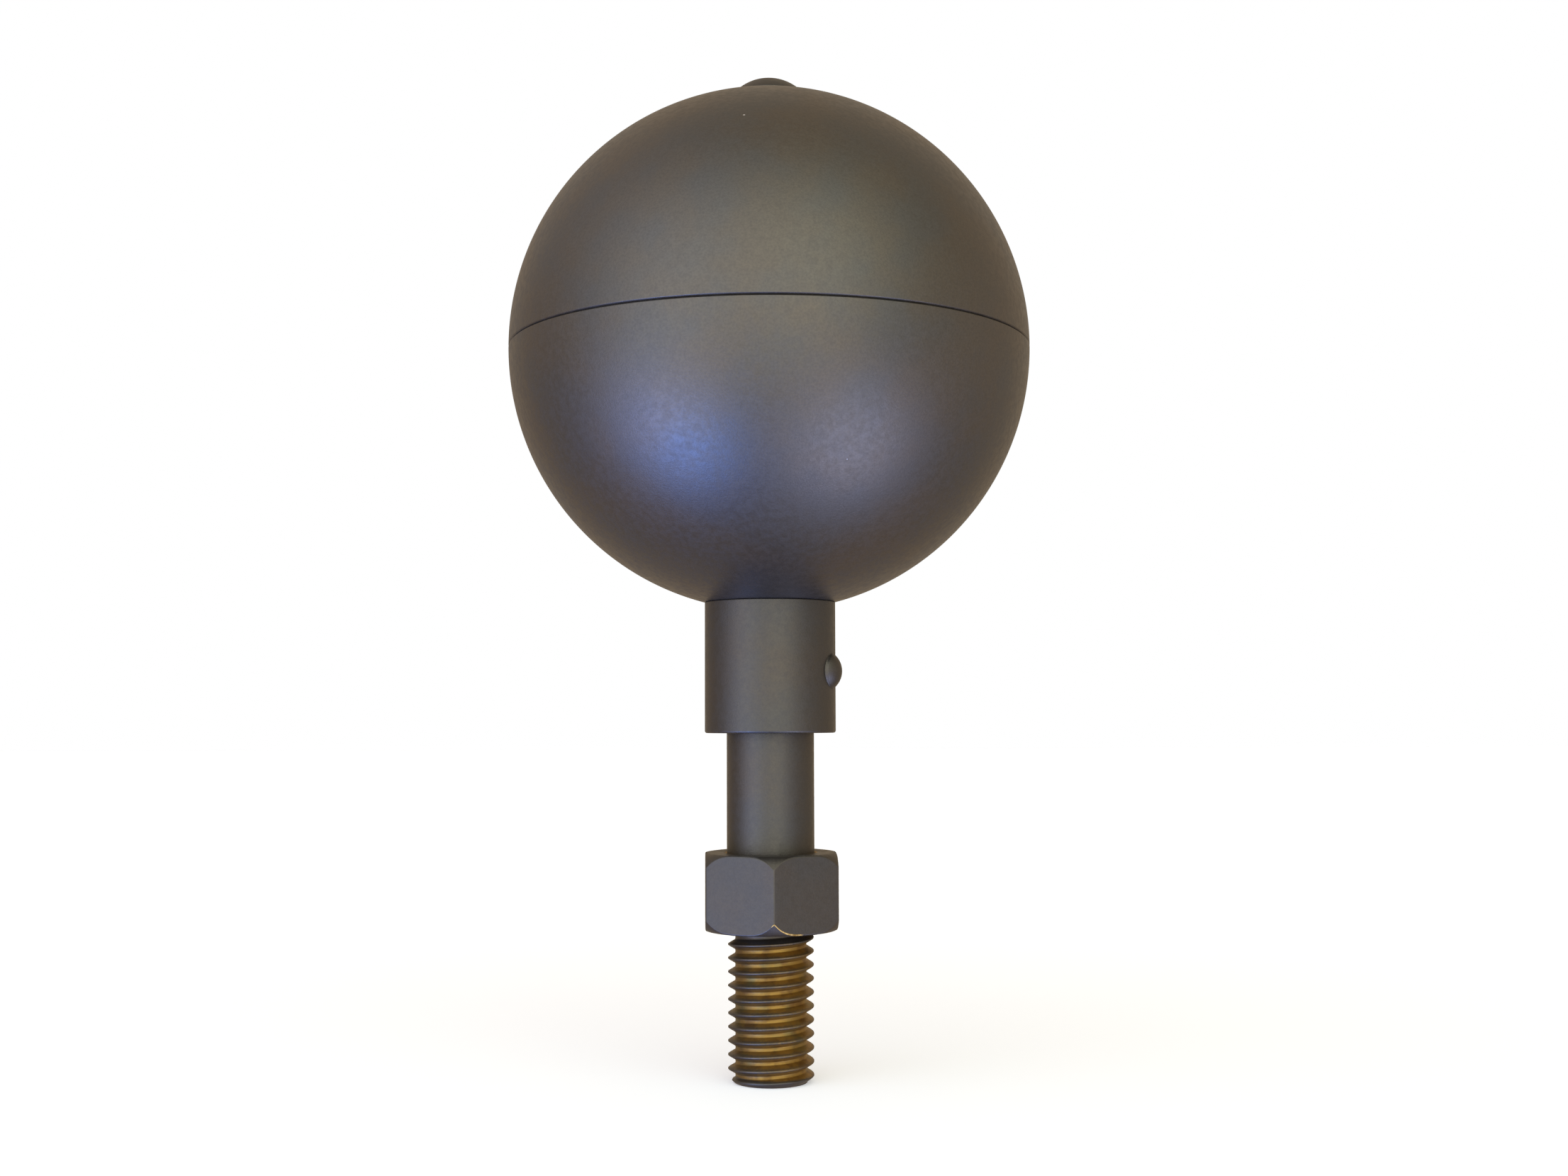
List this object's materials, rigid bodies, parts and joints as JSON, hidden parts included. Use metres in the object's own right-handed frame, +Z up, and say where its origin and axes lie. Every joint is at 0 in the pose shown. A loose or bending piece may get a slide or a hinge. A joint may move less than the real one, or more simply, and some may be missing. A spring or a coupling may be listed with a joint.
{
  "type": "flagpole ball finial",
  "caption": "Painted two-piece ball on a threaded spindle, with a pinned collar and a lock nut, that screws into the top fitting of a flagpole.",
  "frame": {"origin": "on the spindle's axis, at the upper end of the exposed thread, in the plane of the lock nut's lower face at rest", "axes": "+Z up along the spindle towards the ball, -Z the way the thread leaves the finial, -Y towards the front"},
  "size_m": [0.0762, 0.0762, 0.1466],
  "materials": {
    "shell_paint": "satin dark bronze paint with a very fine grain, over spun aluminium",
    "hardware_paint": "satin dark bronze paint over steel",
    "spindle_paint": "satin dark bronze paint over yellow zinc plated steel, with the plating showing in the thread",
    "nut_paint": "satin dark bronze paint over yellow zinc plated steel",
    "yellow_zinc": "yellow zinc plated steel",
    "bare_aluminium": "plain mill finish"
  },
  "bodies": {
    "finial": {"upper_shell": "shell_paint", "lower_shell": "shell_paint", "seam_ring": "bare_aluminium", "top_screw": "hardware_paint", "spindle": "spindle_paint", "collar": "hardware_paint", "cross_pin": "hardware_paint"},
    "nut_core": {"nut_thread": "yellow_zinc"},
    "lock_nut": {"hex_nut": "nut_paint"}
  },
  "joints": [
    {"name": "nut_travel", "type": "slide", "parent": "finial", "child": "nut_core", "axis": [0, 0, -1], "range_m": [0, 0.02036]},
    {"name": "nut_turn", "type": "hinge", "parent": "nut_core", "child": "lock_nut", "pos_m": [0, 0, 0.00556], "axis": [0, 0, -1], "range_deg": [0, 3750]}
  ],
  "couplings": [
    {"joint": "nut_travel", "follows": "nut_turn", "m_per_rad": 0.00031096}
  ]
}
